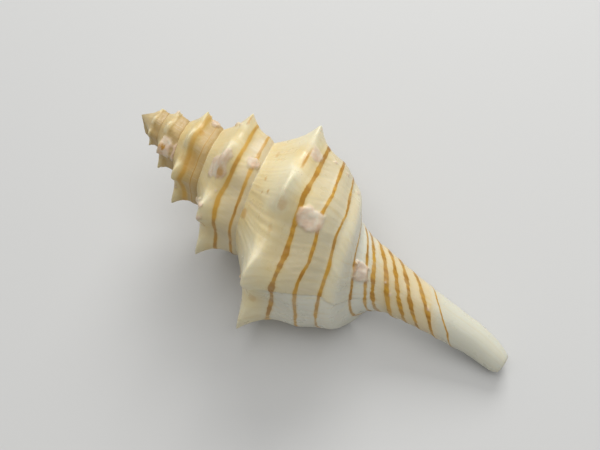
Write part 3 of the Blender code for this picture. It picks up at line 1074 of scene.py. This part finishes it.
# The same in rows
BELLY_ROWS = (1.0, 4.6)
# Rows of the grey painted shade between the swellings
SHADE_GREY_STARTS = (0.35, 1.2)
SHADE_GREY_ENDS = (3.4, 2.6)
LOWER_BELLY_STARTS = (3.6, 4.4)
LOWER_BELLY_ENDS = (9.0, 6.5)
CANAL_ROWS = (5.6, 8.0)
TIP_ROWS = (11.4, 12.4)
NEW_STARTS = (0.2, 1.4)
NEW_ENDS = (8.0, 6.0)
# Rows of the painted highlight on the crests, which are also paler of their own
CREST_HIGHLIGHT_STARTS = (-0.6, -0.1)
CREST_HIGHLIGHT_ENDS = (0.8, 0.1)
BAND_ROWS = (0.4, 0.9)
LILAC_ROWS = (1.0, 1.5)

# The same past the scar in mm, on the swellings, and in noise
PAST_SCAR = (-0.1, 0.1)
# Between the swellings, where the last whorl gets grey painted shade
BETWEEN_NODULES = (0.62, 0.12)
# Painted highlight where the swellings stand highest
HIGHLIGHT_ON_NODULES = (0.1, 0.6)
WARM_PATCHES = (0.4, 0.62)
SPIRE_PATCHES = (0.35, 0.65)
STRAW_STREAKS = (0.5, 0.75)
CHALK_STREAKS = (0.45, 0.25)
CRUST_PATCHES = (0.38, 0.68)
ROUGH_PATCHES = (0.35, 0.65)

# The largest share of each colour
WARM_SHARE = 0.65
BELLY_SHARE = 0.45
# Grey painted shade between the swellings
SHADE_GREY_SHARE = 0.55
LOWER_BELLY_SHARE = 0.8
CANAL_SHARE = 0.9
NEW_SHARE = 0.8
# Painted highlight on the crests, on the last whorl and on the spire
CREST_HIGHLIGHT_SHARE = 0.55
SPIRE_CREST_HIGHLIGHT_SHARE = 0.8
APEX_LILAC_SHARE = 0.3
SPIRE_LILAC_SHARE = 0.6
BAND_SHARE = 0.7
SPIRE_SHARE = 0.92
STRAW_SHARE = 0.22
CHALK_SHARE = 0.25
CRUST_SHARE = 0.8

# Painted lines: young and old edges, pale edge, and how far they wander in mm
LINE_SOFTNESS = (0.22, 0.6)
LINE_SHARES = (0.95, 0.75)
PALE_EDGE = (2.4, 1.0)
PALE_EDGE_SHARE = 0.45
LINE_WANDER = 0.12
LEAST_HALF_WIDTH = 0.001

# Fine noises: scale per metre and detail
MOTTLE = (300.0, 5.0)
FINE = (2600.0, 4.0)
LUMPS = (1500.0, 4.0)
WANDER = (1300.0, 2.0)
GLOSS = (900.0, 3.0)
STREAKS_PER_TURN = 110.0
STREAKS_PER_ROW = 0.5
STREAK_DETAIL = 2.0

# Gloss, depth and fine bumps
ROUGHNESS = (0.27, 0.42)
WORN_ROUGHER = 0.12
CRUST_ROUGHER = 0.25
SPECULAR = 0.45
SUBSURFACE_SHARE = 0.15
SUBSURFACE_RADII = (1.0, 0.7, 0.4)
SUBSURFACE_SCALE = 0.6 * MM
FINE_BUMP = 0.5
STREAK_BUMP = 0.7
BUMP_STRENGTH = 0.45
BUMP_HEIGHT = 0.05 * MM

FLOOR_SIZE = 1.2
FLOOR_COLOUR = (0.56, 0.56, 0.55, 1)
FLOOR_ROUGHNESS = 0.8
WORLD_STRENGTH = 0.33


def body_colour(tree, row, mottle, between, past_scar, crest_highlight):
    """Colour of the last whorl and the canal, between the spiral lines, with painted shade in the hollows
    between the swellings and a painted highlight on their crests.
    """
    base = tree.tint(CREAM, WARM, WARM_SHARE, tree.smooth(mottle, *WARM_PATCHES))
    base = tree.tint(base, WHITE, BELLY_SHARE, tree.smooth(row, *BELLY_ROWS))
    # Painted shade: grey in the hollows between the swellings below the keel
    shade_grey_rows = (tree.smooth(row, *SHADE_GREY_STARTS), tree.smooth(row, *SHADE_GREY_ENDS))
    base = tree.tint(base, SHADE_GREY, SHADE_GREY_SHARE, between, *shade_grey_rows)
    lower = (tree.smooth(row, *LOWER_BELLY_STARTS), tree.smooth(row, *LOWER_BELLY_ENDS))
    base = tree.tint(base, WHITE, LOWER_BELLY_SHARE, *lower)
    base = tree.tint(base, CANAL, CANAL_SHARE, tree.smooth(row, *CANAL_ROWS))
    base = tree.mix(tree.smooth(row, *TIP_ROWS), base, TIP)
    new = (tree.smooth(past_scar, *PAST_SCAR), tree.smooth(row, *NEW_STARTS), tree.smooth(row, *NEW_ENDS))
    base = tree.tint(base, WHITE, NEW_SHARE, *new)
    # Painted highlight: pearl on the crests of the swellings, partly their own paler colour
    return tree.tint(base, HIGHLIGHT_PEARL, CREST_HIGHLIGHT_SHARE, crest_highlight)


def spire_colour(tree, age, row, mottle, between, crest_highlight):
    """Colour of the worn earlier whorls, between the spiral lines, with a painted highlight on the crests of
    the swellings.
    """
    base = tree.mix(tree.smooth(mottle, *SPIRE_PATCHES), SPIRE, WARM)
    base = tree.tint(base, LILAC, APEX_LILAC_SHARE, tree.smooth(age, *APEX_AGES))
    # Painted highlight: cream on the crests of the swellings, partly their own paler colour
    base = tree.tint(base, CREAM, SPIRE_CREST_HIGHLIGHT_SHARE, crest_highlight)
    base = tree.tint(base, LILAC, SPIRE_LILAC_SHARE, tree.smooth(row, *LILAC_ROWS), between)
    band = (tree.smooth(row, *BAND_ROWS), tree.smooth(age, *BAND_AGES))
    return tree.tint(base, SPIRE_BAND, BAND_SHARE, *band)


def ground_colour(tree, turn, row, nodule, past_scar, mottle, streak):
    """Colour between the spiral lines, with a painted highlight on the crests of the swellings and, on the
    last whorl, painted shade between them.
    """
    age = tree.math("MULTIPLY", turn, -1.0)
    between = tree.smooth(nodule, *BETWEEN_NODULES)
    # Painted highlight on the crests of the swellings near the keel
    crest_highlight_rows = tree.product(tree.smooth(row, *CREST_HIGHLIGHT_ENDS), tree.smooth(row, *CREST_HIGHLIGHT_STARTS))
    crest_highlight = tree.product(crest_highlight_rows, tree.smooth(nodule, *HIGHLIGHT_ON_NODULES))
    body = body_colour(tree, row, mottle, between, past_scar, crest_highlight)
    spire = spire_colour(tree, age, row, mottle, between, crest_highlight)
    base = tree.tint(body, spire, SPIRE_SHARE, tree.smooth(age, *SPIRE_AGES))
    base = tree.tint(base, STRAW, STRAW_SHARE, tree.smooth(streak, *STRAW_STREAKS))
    return tree.tint(base, CHALK, CHALK_SHARE, tree.smooth(streak, *CHALK_STREAKS))


def with_lines(tree, base, lines, painted_row, painted_length, wander, older):
    """The spiral lines over the ground colour, each with a paler edge."""
    half_width, dark, strength = lines
    nearest = tree.math("ROUND", painted_row)
    off = tree.product(tree.math("SUBTRACT", painted_row, nearest), painted_length)
    off = tree.math("ABSOLUTE", tree.math("ADD", off, wander))
    edge = tree.math("DIVIDE", off, tree.math("MAXIMUM", half_width, LEAST_HALF_WIDTH))
    softness = tree.smooth(older, 0.0, 1.0, *LINE_SOFTNESS)
    line = tree.smooth(edge, tree.math("ADD", 1.0, softness), tree.math("SUBTRACT", 1.0, softness))
    base = tree.tint(base, STRAW, PALE_EDGE_SHARE, tree.smooth(edge, *PALE_EDGE), strength)
    share = tree.smooth(older, 0.0, 1.0, *LINE_SHARES)
    return tree.tint(base, tree.mix(dark, OCHRE, BROWN), share, line, strength)


def shell_colour(tree, read, spot, streak, lumps, older):
    """Colour all over the shell, from its corner attributes."""
    turn, painted_row, painted_length = read["growth"]
    past_scar, crust, inside = read["marks"]
    orange, nodule, row = read["tints"]
    mottle = tree.noise(spot, *MOTTLE)
    wander = tree.product(tree.math("SUBTRACT", tree.noise(spot, *WANDER), 0.5), LINE_WANDER)
    base = ground_colour(tree, turn, row, nodule, past_scar, mottle, streak)
    base = with_lines(tree, base, read["lines"], painted_row, painted_length, wander, older)
    base = tree.mix(orange, base, ORANGE)
    crust_colour = tree.mix(tree.smooth(lumps, *CRUST_PATCHES), PINK, CHALK)
    crust_colour = tree.mix(orange, crust_colour, ORANGE)
    base = tree.tint(base, crust_colour, CRUST_SHARE, crust)
    return tree.mix(inside, base, WHITE)


def shell_material():
    """Half-glossy shell lime: colours with a painted highlight on the crests and painted shade between the
    swellings, gloss, some light under the surface, fine bumps and streaks.
    """
    material = bpy.data.materials.new("lined_porcelain_shell")
    material.use_nodes = True
    tree = Tree(material)
    shader = material.node_tree.nodes["Principled BSDF"]
    read = {name: tree.attribute(name) for name in ATTRIBUTES}
    turn = read["growth"][0]
    crust = read["marks"][1]
    row = read["tints"][2]
    spot = tree.node("ShaderNodeTexCoord").outputs["Object"]
    streaks = tree.vector(tree.product(turn, STREAKS_PER_TURN), tree.product(row, STREAKS_PER_ROW))
    streak = tree.noise(streaks, 1.0, STREAK_DETAIL)
    lumps = tree.noise(spot, *LUMPS)
    older = tree.smooth(tree.math("MULTIPLY", turn, -1.0), *WORN_AGES)
    tree.set(shader.inputs["Base Color"], shell_colour(tree, read, spot, streak, lumps, older))

    rough = tree.smooth(tree.noise(spot, *GLOSS), *ROUGH_PATCHES, *ROUGHNESS)
    rough = tree.math("ADD", rough, tree.product(older, WORN_ROUGHER))
    rough = tree.math("ADD", rough, tree.product(crust, CRUST_ROUGHER))
    tree.set(shader.inputs["Roughness"], rough)
    shader.inputs["Subsurface Weight"].default_value = SUBSURFACE_SHARE
    shader.inputs["Subsurface Radius"].default_value = SUBSURFACE_RADII
    shader.inputs["Subsurface Scale"].default_value = SUBSURFACE_SCALE
    shader.inputs["Specular IOR Level"].default_value = SPECULAR
    fine = tree.noise(spot, *FINE)
    height = tree.math("ADD", tree.product(fine, FINE_BUMP), tree.product(streak, STREAK_BUMP))
    height = tree.math("ADD", height, tree.product(crust, lumps))
    bump = tree.node("ShaderNodeBump", Height=height, Strength=BUMP_STRENGTH, Distance=BUMP_HEIGHT)
    tree.set(shader.inputs["Normal"], bump.outputs["Normal"])
    return material


def stage():
    """The pale, level surface that the shell lies on."""
    bpy.ops.mesh.primitive_plane_add(size=FLOOR_SIZE)
    floor = bpy.context.object
    floor.name = "floor"
    material = bpy.data.materials.new("pale_floor")
    material.use_nodes = True
    shader = material.node_tree.nodes["Principled BSDF"]
    shader.inputs["Base Color"].default_value = FLOOR_COLOUR
    shader.inputs["Roughness"].default_value = FLOOR_ROUGHNESS
    floor.data.materials.append(material)


def area_light(name, direction, distance, size, power):
    """A square light in this direction that looks at the shell."""
    data = bpy.data.lights.new(name, "AREA")
    data.size = size
    data.energy = power
    light = bpy.data.objects.new(name, data)
    bpy.context.scene.collection.objects.link(light)
    away = Vector(direction).normalized()
    light.location = away * distance
    light.rotation_euler = away.to_track_quat("Z", "Y").to_euler()


def lights():
    """A key light behind the shell's upper side, a broad one above it, and soft light from all round."""
    area_light("key", direction=(-0.25, 0.78, 0.62), distance=0.25, size=0.12, power=0.4)
    area_light("top", direction=(0.05, 0.1, 1), distance=0.4, size=0.4, power=0.95)
    world = bpy.data.worlds.new("studio")
    world.use_nodes = True
    background = world.node_tree.nodes["Background"]
    background.inputs["Color"].default_value = (1, 1, 1, 1)
    background.inputs["Strength"].default_value = WORLD_STRENGTH
    bpy.context.scene.world = world
    bpy.context.scene.view_settings.view_transform = "Standard"


# Camera, from fitting the growth law to the photograph
CAMERA_PLACE = Vector((17.541, -16.735, 58.778)) * MM
CAMERA_FORWARD = Vector((-0.32633, 0.29395, -0.89839))
CAMERA_RIGHT = Vector((0.82301, 0.55584, -0.11708))
CAMERA_LENS = 43.2
SENSOR_WIDTH = 36
CLIP_START = 1 * MM


def camera():
    """The camera of the photograph."""
    data = bpy.data.cameras.new("camera")
    data.lens = CAMERA_LENS
    data.sensor_width = SENSOR_WIDTH
    data.clip_start = CLIP_START
    eye = bpy.data.objects.new("camera", data)
    bpy.context.scene.collection.objects.link(eye)
    back = -CAMERA_FORWARD.normalized()
    right = CAMERA_RIGHT.normalized()
    up = back.cross(right)
    turned = Matrix((right, up, back)).transposed().to_4x4()
    turned.translation = CAMERA_PLACE
    eye.matrix_world = turned
    bpy.context.scene.camera = eye


def main():
    for old in [item for item in bpy.data.objects if item.name in ("Cube", "Light", "Camera")]:
        bpy.data.objects.remove(old)
    shell = build_shell()
    shell.data.materials.clear()
    shell.data.materials.append(shell_material())
    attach(shell, "root")
    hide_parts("shell")
    stage()
    lights()
    camera()


main()
